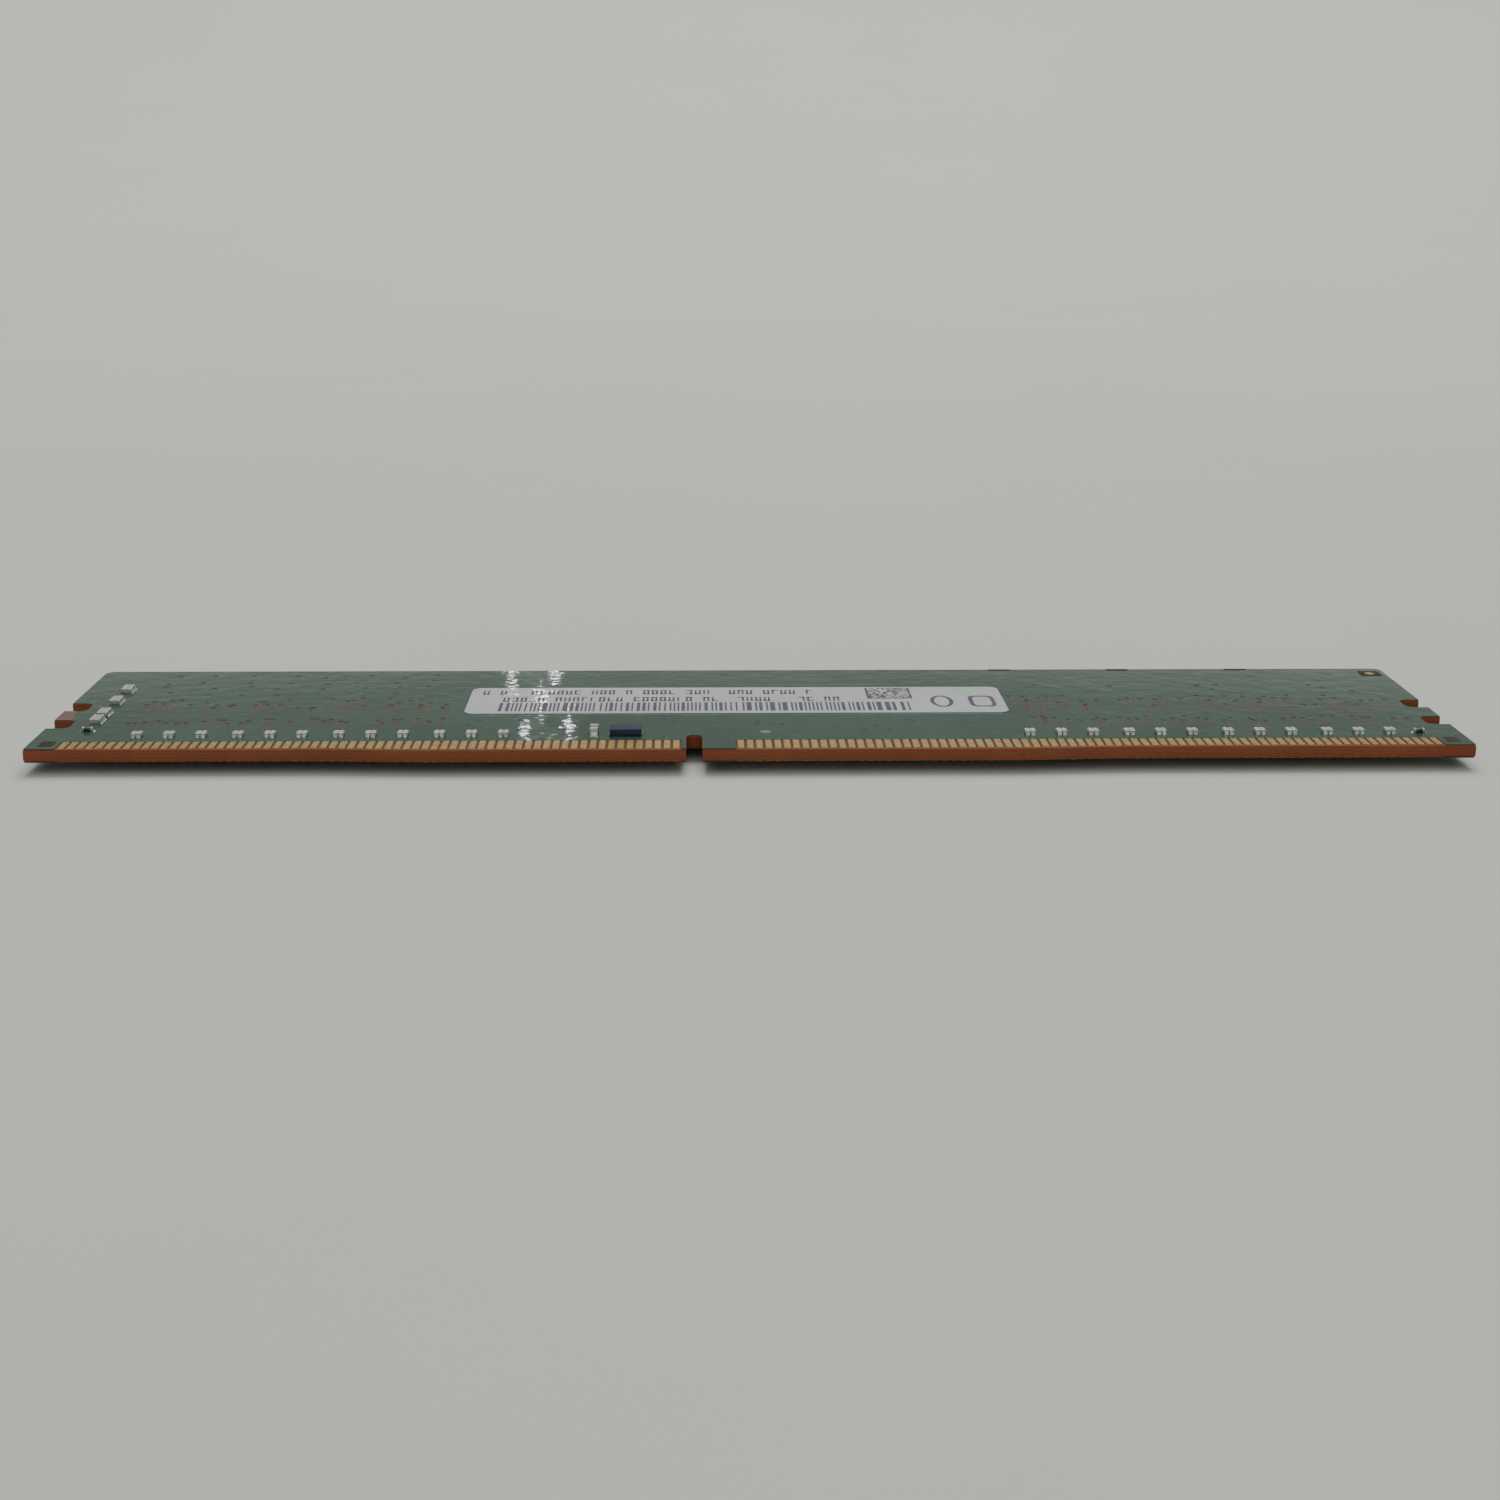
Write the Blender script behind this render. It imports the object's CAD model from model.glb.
"""Desktop memory module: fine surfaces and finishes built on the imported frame.

The module lies on its memory chips with the label side up. X runs along the board, the contact
edge faces -Y and Z goes up through the board. Board coordinates u and v, in millimetres, start at
the left end and at the lowest stretch of the contact edge.
"""

import logging
import math
from dataclasses import dataclass, field
from enum import Enum

import bpy
import numpy as np
from mathutils import Matrix, Vector


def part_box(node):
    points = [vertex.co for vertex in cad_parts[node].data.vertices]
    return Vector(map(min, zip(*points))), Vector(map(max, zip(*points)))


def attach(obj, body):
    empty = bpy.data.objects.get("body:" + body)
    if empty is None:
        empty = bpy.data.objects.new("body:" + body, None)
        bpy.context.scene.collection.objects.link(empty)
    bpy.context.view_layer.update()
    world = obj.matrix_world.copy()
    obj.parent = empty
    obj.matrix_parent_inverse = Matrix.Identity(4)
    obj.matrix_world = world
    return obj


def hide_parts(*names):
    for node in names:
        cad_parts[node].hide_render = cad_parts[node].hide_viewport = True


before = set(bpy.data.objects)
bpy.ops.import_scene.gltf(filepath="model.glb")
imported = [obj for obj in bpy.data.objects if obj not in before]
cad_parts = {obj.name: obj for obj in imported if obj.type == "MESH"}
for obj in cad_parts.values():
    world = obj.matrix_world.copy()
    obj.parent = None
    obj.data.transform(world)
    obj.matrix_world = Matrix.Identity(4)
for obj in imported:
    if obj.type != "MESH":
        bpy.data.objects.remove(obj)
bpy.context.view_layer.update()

LOG = logging.getLogger("memory_module")
MM = 0.001
ELLIPSE = 2.0
ROUNDED_SQUARE = 5.0
MEMORY_CHIPS = 8
PAIRS_EACH_SIDE = 12
END_QUADS = 4
SUPPLY_CAPACITORS = 4


# ---------------------------------------------------------------------------------------------
# Surfaces
# ---------------------------------------------------------------------------------------------


@dataclass
class Surface:
    """A closed surface as arrays, before it becomes an object.

    Attributes:
        points: Corner places in millimetres, one row each.
        corners: Point numbers of every face, one face after the other.
        sizes: Number of corners of each face.
        finish: Number of the material of each face.
    """

    points: np.ndarray
    corners: np.ndarray
    sizes: np.ndarray
    finish: np.ndarray

    def moved(self, u: float = 0.0, v: float = 0.0, z: float = 0.0) -> "Surface":
        """Return a copy shifted by u, v and z."""
        return Surface(self.points + np.array([u, v, z]), self.corners, self.sizes, self.finish)

    def turned(self, quarter_turns: int) -> "Surface":
        """Return a copy turned about the vertical axis by quarter turns, anticlockwise."""
        angle = quarter_turns * math.pi / 2
        cos, sin = round(math.cos(angle)), round(math.sin(angle))
        spin = np.array([[cos, sin, 0], [-sin, cos, 0], [0, 0, 1]])
        return Surface(self.points @ spin, self.corners, self.sizes, self.finish)

    def flipped(self, level: float) -> "Surface":
        """Return a copy mirrored in the horizontal plane at a level, its faces still outwards."""
        points = self.points * np.array([1, 1, -1]) + np.array([0, 0, 2 * level])
        return Surface(points, self.corners[::-1], self.sizes[::-1], self.finish[::-1])

    def dressed(self, finish: int) -> "Surface":
        """Return a copy whose faces all take one material number."""
        return Surface(self.points, self.corners, self.sizes, np.full_like(self.finish, finish))

    def repeated(self, places: np.ndarray) -> "Surface":
        """Return one surface made of a copy at each place.

        Args:
            places: Shifts in millimetres, one row of three for each copy.

        Returns:
            All the copies as one surface.
        """
        count = len(places)
        points = (self.points[None] + places[:, None]).reshape(-1, 3)
        steps = np.arange(count)[:, None] * len(self.points)
        corners = (self.corners[None] + steps).ravel()
        return Surface(points, corners, np.tile(self.sizes, count), np.tile(self.finish, count))


def joined(parts: list[Surface]) -> Surface:
    """Gather several surfaces into one."""
    counts = [len(part.points) for part in parts]
    starts = np.concatenate([[0], np.cumsum(counts)[:-1]]).astype(int)
    corners = [part.corners + start for part, start in zip(parts, starts)]
    return Surface(
        np.concatenate([part.points for part in parts]),
        np.concatenate(corners),
        np.concatenate([part.sizes for part in parts]),
        np.concatenate([part.finish for part in parts]),
    )


def lofts(rings: np.ndarray) -> Surface:
    """Join closed rings into capped solids, many at once.

    Face (i, j) of a solid spans ring i to i + 1 and ring point j to j + 1, and its first and last
    rings are capped. Rings run anticlockwise as seen from the end that they are carried towards.

    Args:
        rings: Array of shape (solids, rings, ring points, 3).

    Returns:
        All the solids as one surface.
    """
    solids, levels, around, _ = rings.shape
    i, j = np.meshgrid(np.arange(levels - 1), np.arange(around), indexing="ij")
    after = (j + 1) % around
    quads = np.stack([i * around + j, i * around + after, (i + 1) * around + after, (i + 1) * around + j], -1)
    bottom = np.arange(around)[::-1]
    top = (levels - 1) * around + np.arange(around)
    corners = np.concatenate([quads.ravel(), bottom, top])
    sizes = np.concatenate([np.full((levels - 1) * around, 4), [around, around]])
    one = Surface(np.zeros((levels * around, 3)), corners, sizes, np.zeros(len(sizes), int))
    many = one.repeated(np.zeros((solids, 3)))
    many.points = rings.reshape(-1, 3)
    return many


def inset(outline: np.ndarray, distance: float | np.ndarray) -> np.ndarray:
    """Move an anticlockwise outline inwards, each corner along its mitre.

    Args:
        outline: Corner places, one row of two each.
        distance: How far to move, for the whole outline or for each corner.

    Returns:
        The moved outline.
    """
    before = outline - np.roll(outline, 1, axis=0)
    after = np.roll(outline, -1, axis=0) - outline
    normals = [np.stack([-edge[:, 1], edge[:, 0]], -1) for edge in (before, after)]
    normals = [n / np.linalg.norm(n, axis=1, keepdims=True) for n in normals]
    mitre = normals[0] + normals[1]
    mitre /= np.maximum(np.sum(mitre * normals[0], axis=1, keepdims=True), 0.2)
    return outline + mitre * np.broadcast_to(distance, (len(outline),))[:, None]


def slab(outline: np.ndarray, low: float, high: float, bevel: float | np.ndarray = 0.0,
         steps: int = 2) -> Surface:
    """Stand an outline up between two heights, its rims rounded by quarter circles.

    At angle t the rim stands in by bevel * (1 - sin t) and out in height by bevel * (1 - cos t).

    Args:
        outline: Anticlockwise outline in millimetres.
        low: Lower height.
        high: Upper height.
        bevel: Rim radius, for the whole outline or for each corner.
        steps: Steps of each rounded rim.

    Returns:
        The closed solid.
    """
    if np.max(bevel) <= 0:
        levels = [(low, 0.0), (high, 0.0)]
    else:
        reach = np.max(bevel)
        share = np.asarray(bevel) / reach
        angles = np.linspace(0, math.pi / 2, steps + 1)
        rim = [(reach * (1 - math.cos(t)), reach * (1 - math.sin(t)) * share) for t in angles]
        levels = [(low + rise, back) for rise, back in rim]
        levels += [(high - rise, back) for rise, back in reversed(rim)]
    rings = [np.column_stack([inset(outline, back), np.full(len(outline), z)]) for z, back in levels]
    return lofts(np.array(rings)[None])


def rounded_rectangle(width: float, depth: float, radius: float, steps: int = 3) -> np.ndarray:
    """Return an anticlockwise rectangle about the origin with quarter-circle corners."""
    angles = np.linspace(0, math.pi / 2, steps + 1)
    centres = np.array([[1, 1], [-1, 1], [-1, -1], [1, -1]]) * [width / 2 - radius, depth / 2 - radius]
    turns = angles[None, :] + np.arange(4)[:, None] * math.pi / 2
    arcs = radius * np.stack([np.cos(turns), np.sin(turns)], -1)
    return (centres[:, None] + arcs).reshape(-1, 2)


def block(width: float, depth: float, height: float, radius: float, rim: float) -> Surface:
    """Return a rounded block standing on the origin."""
    return slab(rounded_rectangle(width, depth, radius), 0.0, height, rim)


def bars(low: np.ndarray, high: np.ndarray, base: float, height: float) -> Surface:
    """Return flat rectangular bars, one for each pair of opposite corners."""
    u0, v0, u1, v1 = low[:, 0], low[:, 1], high[:, 0], high[:, 1]
    ring = np.stack([np.stack([u0, v0], -1), np.stack([u1, v0], -1), np.stack([u1, v1], -1),
                     np.stack([u0, v1], -1)], 1)
    rings = np.stack([np.concatenate([ring, np.full(ring.shape[:2] + (1,), z)], -1)
                      for z in (base, base + height)], 1)
    return lofts(rings)


def turned_solid(profile: list[tuple[float, float]], around: int = 12) -> Surface:
    """Carry a profile of (radius, height) pairs, lowest first, round the vertical axis."""
    radii, heights = np.array(profile).T
    angles = np.arange(around) * 2 * math.pi / around
    circle = np.stack([np.cos(angles), np.sin(angles)], -1)
    rings = np.concatenate([radii[:, None, None] * circle[None],
                            np.broadcast_to(heights[:, None, None], (len(radii), around, 1))], -1)
    return lofts(rings[None])


def ridges(paths: np.ndarray, width: float, base: float, height: float) -> Surface:
    """Carry a low trapezium along flat paths, many at once.

    Args:
        paths: Array of shape (paths, points, 2).
        width: Width at the foot.
        base: Height of the foot.
        height: How far the ridge stands up.

    Returns:
        All the ridges as one surface.
    """
    along = np.gradient(paths, axis=1)
    along /= np.linalg.norm(along, axis=2, keepdims=True)
    right = np.stack([along[..., 1], -along[..., 0]], -1)
    section = np.array([[-0.5, 0.0], [-0.45, 1.0], [0.45, 1.0], [0.5, 0.0]])
    flat = paths[:, :, None] + right[:, :, None] * (section[:, 0] * width)[None, None, :, None]
    tall = np.broadcast_to(base + section[:, 1] * height, flat.shape[:3])[..., None]
    return lofts(np.concatenate([flat, tall], -1))


def band(around: int, half: tuple[float, float], thickness: float, power: float, base: float,
         height: float) -> Surface:
    """Return a closed flat band: a superellipse and a smaller copy of it inside.

    A superellipse keeps |x / a| ** power + |y / b| ** power at 1: power 2 gives an ellipse, a higher
    power a squarer shape.

    Args:
        around: Number of points round the shape.
        half: Outer half width and half depth.
        thickness: Width of the band.
        power: Power of the superellipse.
        base: Height of the underside.
        height: Height of the band itself.

    Returns:
        The band about the origin.
    """
    angles = np.arange(around) * 2 * math.pi / around
    direction = np.stack([np.cos(angles), np.sin(angles)], -1)
    reach = np.sum(np.abs(direction) ** power, axis=1) ** (-1 / power)
    shape = direction * reach[:, None]
    outer, inner = shape * np.array(half), shape * (np.array(half) - thickness)
    section = [(outer, base), (outer, base + height), (inner, base + height), (inner, base)]
    rings = np.array([np.column_stack([flat, np.full(around, z)]) for flat, z in section])
    i, j = np.meshgrid(np.arange(4), np.arange(around), indexing="ij")
    below, above, after = i * around, (i + 1) % 4 * around, (j + 1) % around
    quads = np.stack([below + j, below + after, above + after, above + j], -1)
    return Surface(rings.reshape(-1, 3), quads.ravel(), np.full(4 * around, 4), np.zeros(4 * around, int))


def write_piece(name: str, surface: Surface, finishes: list[bpy.types.Material],
                replaces: tuple[str, ...] = (), smooth_deg: float = 40.0) -> None:
    """Turn a surface into a piece of the object that rides on the root body.

    Args:
        name: Name of the piece.
        surface: Its surface in board millimetres.
        finishes: Materials, in the order of the surface's finish numbers.
        replaces: Nodes of the frame that the piece stands for.
        smooth_deg: Edges flatter than this are shaded smooth.
    """
    mesh = bpy.data.meshes.new(name)
    points = (surface.points + BOARD_ORIGIN) * MM
    starts = np.concatenate([[0], np.cumsum(surface.sizes)[:-1]]).astype(np.int32)
    mesh.vertices.add(len(points))
    mesh.vertices.foreach_set("co", points.astype(np.float32).ravel())
    mesh.loops.add(len(surface.corners))
    mesh.loops.foreach_set("vertex_index", surface.corners.astype(np.int32))
    mesh.polygons.add(len(starts))
    mesh.polygons.foreach_set("loop_start", starts)
    mesh.polygons.foreach_set("material_index", surface.finish.astype(np.int32))
    mesh.update(calc_edges=True)
    mesh.validate()
    mesh.polygons.foreach_set("use_smooth", np.ones(len(mesh.polygons), bool))
    mesh.set_sharp_from_angle(angle=math.radians(smooth_deg))
    for finish in finishes:
        mesh.materials.append(finish)
    piece = bpy.data.objects.new(name, mesh)
    bpy.context.scene.collection.objects.link(piece)
    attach(piece, "root")
    if replaces:
        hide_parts(*replaces)
    LOG.info("%s: %d faces", name, len(mesh.polygons))


# ---------------------------------------------------------------------------------------------
# Heights and places, read from the frame
# ---------------------------------------------------------------------------------------------


def node_box(name: str) -> tuple[np.ndarray, np.ndarray]:
    """Return a node's lowest and highest corner in board millimetres."""
    low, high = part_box(name)
    return np.array(low) / MM - BOARD_ORIGIN, np.array(high) / MM - BOARD_ORIGIN


def node_centre(name: str) -> np.ndarray:
    """Return the middle of a node's box in board millimetres."""
    low, high = node_box(name)
    return (low + high) / 2


def node_size(name: str) -> np.ndarray:
    """Return the three sizes of a node's box in millimetres."""
    low, high = node_box(name)
    return high - low


BOARD_ORIGIN = np.array([*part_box("laminate_board")[0][:2], 0.0]) / MM
LAMINATE_LOW = node_box("laminate_board")[0][2]
LAMINATE_HIGH = node_box("laminate_board")[1][2]
LABEL_FACE = node_box("solder_mask_label_side")[1][2]
MIDDLE_LEVEL = (LAMINATE_LOW + LAMINATE_HIGH) / 2


class Side(Enum):
    """The two faces of the board."""

    LABEL = "label_side"
    CHIP = "chip_side"


def on_label_face(dots: np.ndarray) -> np.ndarray:
    """Return flat places raised to the face of the label side."""
    return np.column_stack([dots, np.full(len(dots), LABEL_FACE)])


def on_side(surface: Surface, side: Side) -> Surface:
    """Return a surface made for the label side, mirrored to the chip side where asked."""
    return surface if side is Side.LABEL else surface.flipped(MIDDLE_LEVEL)


# ---------------------------------------------------------------------------------------------
# Shader building
# ---------------------------------------------------------------------------------------------


class Graph:
    """A node tree under construction: adds nodes, sets their inputs and links their sockets."""

    noise_roughness = 0.55

    def __init__(self, tree: bpy.types.NodeTree) -> None:
        """Start on an empty tree."""
        self.tree = tree
        tree.nodes.clear()

    def node(self, kind: str, inputs: dict | None = None, **settings: object) -> bpy.types.Node:
        """Add a node.

        Args:
            kind: Blender's name of the node type.
            inputs: Value or socket for each input, by name or number.
            settings: Attributes of the node itself.

        Returns:
            The new node.
        """
        node = self.tree.nodes.new(kind)
        for key, value in settings.items():
            setattr(node, key, value)
        for key, value in (inputs or {}).items():
            if isinstance(value, bpy.types.NodeSocket):
                self.tree.links.new(value, node.inputs[key])
            else:
                node.inputs[key].default_value = value
        return node

    def place(self, scale: tuple[float, float, float] = (1, 1, 1)) -> bpy.types.NodeSocket:
        """Return object coordinates, stretched by a scale along each axis."""
        coordinates = self.node("ShaderNodeTexCoord").outputs["Object"]
        return self.node("ShaderNodeMapping", {"Vector": coordinates, "Scale": scale}).outputs[0]

    def noise(self, scale: float, detail: float, stretch: tuple = (1, 1, 1)) -> bpy.types.NodeSocket:
        """Return cloudy noise from 0 to 1 with a number of features to the metre."""
        inputs = {"Vector": self.place(stretch), "Scale": scale, "Detail": detail,
                  "Roughness": self.noise_roughness}
        return self.node("ShaderNodeTexNoise", inputs).outputs["Fac"]

    def ramp(self, value: bpy.types.NodeSocket, low: float, high: float, to_low: float = 0.0,
             to_high: float = 1.0) -> bpy.types.NodeSocket:
        """Return a value mapped smoothly from one range to another."""
        inputs = {"Value": value, 1: low, 2: high, 3: to_low, 4: to_high}
        return self.node("ShaderNodeMapRange", inputs, interpolation_type="SMOOTHSTEP").outputs[0]

    def math(self, operation: str, first: object, second: object = 0.0) -> bpy.types.NodeSocket:
        """Return the result of one arithmetic step."""
        return self.node("ShaderNodeMath", {0: first, 1: second}, operation=operation).outputs[0]

    def weighted(self, *terms: tuple[bpy.types.NodeSocket, float]) -> bpy.types.NodeSocket:
        """Return the sum of some values, each times its own weight."""
        total, *others = [self.math("MULTIPLY", value, weight) for value, weight in terms]
        for part in others:
            total = self.math("ADD", total, part)
        return total

    def mix(self, factor: object, first: object, second: object) -> bpy.types.NodeSocket:
        """Return two colours mixed by a factor."""
        inputs = {0: factor, 6: first, 7: second}
        return self.node("ShaderNodeMix", inputs, data_type="RGBA", blend_type="MIX").outputs[2]

    def veiled(self, colour: object, mask: object, share: float, veil: object) -> bpy.types.NodeSocket:
        """Return a colour covered by a share of another one where a mask says so."""
        return self.mix(self.math("MULTIPLY", mask, share), colour, veil)

    def bump(self, height: bpy.types.NodeSocket, strength: float, distance: float,
             normal: bpy.types.NodeSocket | None = None) -> bpy.types.NodeSocket:
        """Return a normal disturbed by a height, over a distance in metres."""
        inputs = {"Height": height, "Strength": strength, "Distance": distance}
        if normal is not None:
            inputs["Normal"] = normal
        return self.node("ShaderNodeBump", inputs).outputs[0]


def rgba(red: float, green: float, blue: float) -> tuple[float, float, float, float]:
    """Return a linear colour with full alpha."""
    return (red, green, blue, 1.0)


MASK_DUST = rgba(0.30, 0.31, 0.28)
PART_DUST = rgba(0.34, 0.34, 0.31)
LOOSE_FIBRE = rgba(0.22, 0.095, 0.04)
SHADED_RESIN = rgba(0.045, 0.022, 0.010)


class Effect:
    """A shared effect: a node group built once and placed in many materials."""

    groups: dict[str, bpy.types.NodeTree] = {}

    @classmethod
    def start(cls, name: str, inputs: dict[str, float], outputs: tuple[str, ...]
              ) -> tuple[Graph, bpy.types.Node, bpy.types.Node]:
        """Open a new group.

        Args:
            name: Name of the group.
            inputs: Input names with their first values.
            outputs: Output names.

        Returns:
            The graph inside the group, its input node and its output node.
        """
        tree = bpy.data.node_groups.new(name, "ShaderNodeTree")
        for label, value in inputs.items():
            socket = tree.interface.new_socket(label, in_out="INPUT", socket_type="NodeSocketFloat")
            socket.default_value = value
        for label in outputs:
            tree.interface.new_socket(label, in_out="OUTPUT", socket_type="NodeSocketFloat")
        graph = Graph(tree)
        cls.groups[name] = tree
        return graph, graph.node("NodeGroupInput"), graph.node("NodeGroupOutput")

    @classmethod
    def grain(cls) -> None:
        """Two sizes of cloudy grain: Coarse for colour, Fine for relief."""
        graph, given, out = cls.start("grain", {"Scale": 1000.0, "Contrast": 1.0}, ("Coarse", "Fine"))
        place = graph.place()
        coarse_inputs = {"Vector": place, "Scale": given.outputs["Scale"], "Detail": 4.0}
        coarse = graph.node("ShaderNodeTexNoise", coarse_inputs)
        fine_scale = graph.math("MULTIPLY", given.outputs["Scale"], 6.0)
        fine = graph.node("ShaderNodeTexNoise", {"Vector": place, "Scale": fine_scale, "Detail": 2.0})
        middle = graph.math("SUBTRACT", coarse.outputs["Fac"], 0.5)
        spread = graph.math("MULTIPLY", middle, given.outputs["Contrast"])
        graph.tree.links.new(graph.math("ADD", spread, 0.5), out.inputs["Coarse"])
        graph.tree.links.new(fine.outputs["Fac"], out.inputs["Fine"])

    @classmethod
    def weave(cls) -> None:
        """Plain-woven glass cloth: warp and weft bands that cross, as a height."""
        graph, given, out = cls.start("weave", {"Scale": 1000.0, "Wander": 1.0}, ("Height",))
        bands = []
        for direction in ("X", "Y"):
            inputs = {"Vector": graph.place(), "Scale": given.outputs["Scale"],
                      "Distortion": given.outputs["Wander"], "Detail": 1.0, "Detail Scale": 0.6}
            wave = graph.node("ShaderNodeTexWave", inputs, wave_type="BANDS", bands_direction=direction)
            bands.append(wave.outputs["Fac"])
        graph.tree.links.new(graph.math("MULTIPLY", bands[0], bands[1]), out.inputs["Height"])

    @classmethod
    def dust(cls) -> None:
        """Sparse specks of dust as a mask."""
        graph, given, out = cls.start("dust", {"Scale": 400.0, "Amount": 0.1}, ("Mask",))
        inputs = {"Vector": graph.place(), "Scale": given.outputs["Scale"], "Randomness": 1.0}
        cells = graph.node("ShaderNodeTexVoronoi", inputs, feature="F1").outputs["Distance"]
        edge = graph.math("SUBTRACT", given.outputs["Amount"], cells)
        mask = graph.math("MULTIPLY", graph.math("MAXIMUM", edge, 0.0), 12.0)
        graph.tree.links.new(mask, out.inputs["Mask"])

    @classmethod
    def wipes(cls) -> None:
        """Fine rubbed lines along v, as left by a socket's springs."""
        graph, given, out = cls.start("wipes", {"Scale": 9000.0}, ("Mask",))
        inputs = {"Vector": graph.place((1.0, 0.04, 1.0)), "Scale": given.outputs["Scale"], "Detail": 3.0}
        lines = graph.node("ShaderNodeTexNoise", inputs).outputs["Fac"]
        graph.tree.links.new(graph.ramp(lines, 0.42, 0.62), out.inputs["Mask"])

    @classmethod
    def use(cls, graph: Graph, name: str, **values: float) -> bpy.types.Node:
        """Place a group in a material with its own values."""
        node = graph.node("ShaderNodeGroup", node_tree=cls.groups[name])
        for key, value in values.items():
            node.inputs[key].default_value = value
        return node


@dataclass(frozen=True)
class Finish:
    """What every finish states: name, gloss and metal share."""

    name: str
    roughness: float
    metallic: float = 0.0
    ior: float = 1.5

    def graph(self) -> tuple[bpy.types.Material, Graph]:
        """Start an empty material."""
        material = bpy.data.materials.new(self.name)
        material.use_nodes = True
        return material, Graph(material.node_tree)

    def close(self, graph: Graph, colour: bpy.types.NodeSocket, roughness: bpy.types.NodeSocket | float,
              normal: bpy.types.NodeSocket) -> None:
        """Feed the surface shader and the material's output.

        Args:
            graph: The material's graph.
            colour: Base colour.
            roughness: Roughness over the surface.
            normal: Disturbed normal.
        """
        inputs = {"Base Color": colour, "Roughness": roughness, "Normal": normal,
                  "Metallic": self.metallic, "IOR": self.ior}
        shader = graph.node("ShaderNodeBsdfPrincipled", inputs)
        output = graph.node("ShaderNodeOutputMaterial")
        graph.tree.links.new(shader.outputs[0], output.inputs["Surface"])


@dataclass(frozen=True)
class MaskFinish(Finish):
    """Green solder mask over copper or laminate, with cloth showing faintly through."""

    deep: tuple = rgba(0.025, 0.058, 0.042)
    light: tuple = rgba(0.041, 0.082, 0.061)
    patch_scale: float = 90.0
    dust_scale: float = 330.0
    dust_amount: float = 0.075
    cloth_scale: float = 260.0
    cloth_relief: float = 0.10
    grain_scale: float = 700.0
    grain_relief: float = 0.03
    fine_height: float = 0.00001
    ripple_scale: float = 560.0
    ripple_relief: float = 0.6
    ripple_height: float = 0.00002

    def build(self) -> bpy.types.Material:
        """Return the material: mottled green, rippled gloss, faint cloth relief and dust."""
        material, graph = self.graph()
        grain = Effect.use(graph, "grain", Scale=self.grain_scale, Contrast=1.2)
        patches = graph.ramp(graph.noise(self.patch_scale, 4.0), 0.35, 0.68)
        blotch = graph.weighted((patches, 0.6), (grain.outputs["Coarse"], 0.4))
        weave = Effect.use(graph, "weave", Scale=self.cloth_scale, Wander=1.5).outputs["Height"]
        green = graph.mix(blotch, self.deep, self.light)
        green = graph.veiled(green, weave, 0.25, self.deep)
        dust = Effect.use(graph, "dust", Scale=self.dust_scale, Amount=self.dust_amount).outputs["Mask"]
        green = graph.veiled(green, dust, 0.5, MASK_DUST)
        rough = graph.ramp(grain.outputs["Coarse"], 0.2, 0.8, self.roughness - 0.01, self.roughness + 0.02)
        normal = graph.bump(weave, self.cloth_relief, self.fine_height)
        normal = graph.bump(grain.outputs["Fine"], self.grain_relief, self.fine_height, normal)
        ripples = graph.noise(self.ripple_scale, 1.0)
        normal = graph.bump(ripples, self.ripple_relief, self.ripple_height, normal)
        self.close(graph, green, rough, normal)
        return material


@dataclass(frozen=True)
class LaminateFinish(Finish):
    """Cut edge of glass-epoxy board: brown layers of cloth with loose fibre ends."""

    dark: tuple = rgba(0.122, 0.028, 0.011)
    warm: tuple = rgba(0.235, 0.070, 0.027)
    layer_pitch: float = 0.00021
    fibre_scale: float = 5200.0
    stain_scale: float = 240.0
    speck_scale: float = 11000.0
    face_shade: float = 0.0
    face_depth: float = 0.03

    def build(self) -> bpy.types.Material:
        """Return the material: bands along Z, broken up by stretched noise."""
        material, graph = self.graph()
        inputs = {"Vector": graph.place((0.02, 0.02, 1.0)), "Scale": 0.5 / self.layer_pitch,
                  "Distortion": 2.5, "Detail": 2.0}
        waves = graph.node("ShaderNodeTexWave", inputs, wave_type="BANDS", bands_direction="Z")
        layers = waves.outputs["Fac"]
        fibres = graph.noise(self.fibre_scale, 3.0, (0.35, 0.35, 2.0))
        stains = graph.noise(self.stain_scale, 3.0)
        tone = graph.weighted((layers, 0.35), (fibres, 0.4), (stains, 0.25))
        colour = graph.mix(graph.ramp(tone, 0.25, 0.75), self.dark, self.warm)
        specks = graph.ramp(graph.noise(self.speck_scale, 1.0), 0.66, 0.74)
        colour = graph.veiled(colour, specks, 0.35, LOOSE_FIBRE)
        height = graph.node("ShaderNodeSeparateXYZ", {0: graph.place()}).outputs["Z"]
        lowest = (LAMINATE_HIGH - self.face_depth) * MM
        near_face = graph.ramp(height, lowest, LAMINATE_HIGH * MM, 0.0, self.face_shade)
        colour = graph.mix(near_face, colour, SHADED_RESIN)
        rough = graph.ramp(fibres, 0.2, 0.8, self.roughness - 0.1, self.roughness + 0.1)
        normal = graph.bump(fibres, 0.5, 0.00003)
        normal = graph.bump(layers, 0.3, 0.00002, normal)
        self.close(graph, colour, rough, normal)
        return material


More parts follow.
